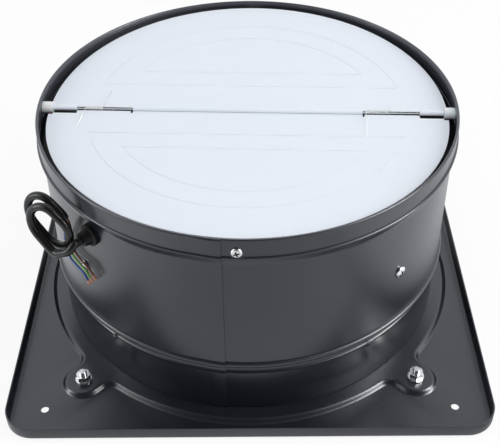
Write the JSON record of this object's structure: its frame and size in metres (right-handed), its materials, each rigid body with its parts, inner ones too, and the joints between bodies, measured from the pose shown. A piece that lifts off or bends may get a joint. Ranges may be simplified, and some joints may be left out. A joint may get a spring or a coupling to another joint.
{
  "type": "industrial exhaust fan",
  "caption": "Wall-mounted axial exhaust fan with a square plate, a drawn barrel, an impeller on a bracket-held motor and a spring-closed butterfly shutter.",
  "frame": {"origin": "on the duct axis, at the room-side face of the wall plate, which is the middle of the underside of the box round the part without its cord", "axes": "+Z along the duct axis from the room side to the outlet; X and Y along the sides of the square plate; -Y is the side with the lapped seam, and the cord comes out towards -X and -Y"},
  "size_m": [0.37, 0.37, 0.179],
  "materials": {
    "plate_paint": "semi-gloss black powder coat",
    "barrel_paint": "semi-gloss black powder coat",
    "blade_paint": "semi-gloss black powder coat",
    "zinc": "bright zinc plate",
    "rod_steel": "drawn steel",
    "spring_steel": "spring wire",
    "core_steel": "varnished laminations and ground rings",
    "cast_aluminium": "die cast",
    "winding_copper": "enamelled copper wire",
    "capacitor_plastic": "moulded case",
    "cord_rubber": "satin sheath",
    "gland_rubber": "moulded rubber",
    "nylon": "natural nylon, a little translucent",
    "flap_film": "satin aluminium under a pale protective film",
    "core_brown": "insulated core",
    "core_blue": "insulated core",
    "core_earth": "green and yellow insulated core"
  },
  "bodies": {
    "housing": {"mounting_plate": "plate_paint", "inlet_guard": "zinc", "guard_bolts": "zinc", "bolt_washers": "zinc", "bolt_nuts": "zinc", "barrel": "barrel_paint", "motor_bracket": "plate_paint", "bracket_screws": "zinc", "bracket_nuts": "zinc", "motor_front_bell": "cast_aluminium", "motor_rear_bell": "cast_aluminium", "stator_core": "core_steel", "stator_windings": "winding_copper", "front_bearing": "core_steel", "rear_bearing": "core_steel", "run_capacitor": "capacitor_plastic", "capacitor_clip": "zinc", "motor_lead": "cord_rubber", "cable_gland": "gland_rubber", "hinge_rod": "rod_steel", "rod_bushes": "nylon", "flap_stops": "zinc", "stop_screws": "zinc", "stop_nuts": "zinc", "torsion_spring_left": "spring_steel", "torsion_spring_right": "spring_steel", "cord_lead": "cord_rubber", "cord_loops": "cord_rubber", "core_brown": "core_brown", "core_blue": "core_blue", "core_earth": "core_earth"},
    "impeller": {"motor_shaft": "rod_steel", "rotor_core": "core_steel", "impeller_hub": "plate_paint", "impeller_blades": "blade_paint", "blade_rivets": "zinc", "impeller_nut": "zinc"},
    "front_flap": {"flap_front": "flap_film"},
    "back_flap": {"flap_back": "flap_film"}
  },
  "joints": [
    {"name": "impeller_spin", "type": "hinge", "parent": "housing", "child": "impeller", "pos_m": [0, 0, 0.026], "axis": [0, 0, 1], "continuous": true},
    {"name": "front_flap_hinge", "type": "hinge", "parent": "housing", "child": "front_flap", "pos_m": [0, 0, 0.1695], "axis": [-0.999, 0.0436, 0], "range_deg": [0, 80], "stiffness_Nm_per_rad": 0.01, "springref_deg": -20.05, "deforming": ["torsion_spring_left", "torsion_spring_right"]},
    {"name": "back_flap_hinge", "type": "hinge", "parent": "housing", "child": "back_flap", "pos_m": [0, 0, 0.1695], "axis": [0.999, -0.0436, 0], "range_deg": [0, 80], "stiffness_Nm_per_rad": 0.01, "springref_deg": -20.05, "deforming": ["torsion_spring_left", "torsion_spring_right"]}
  ]
}
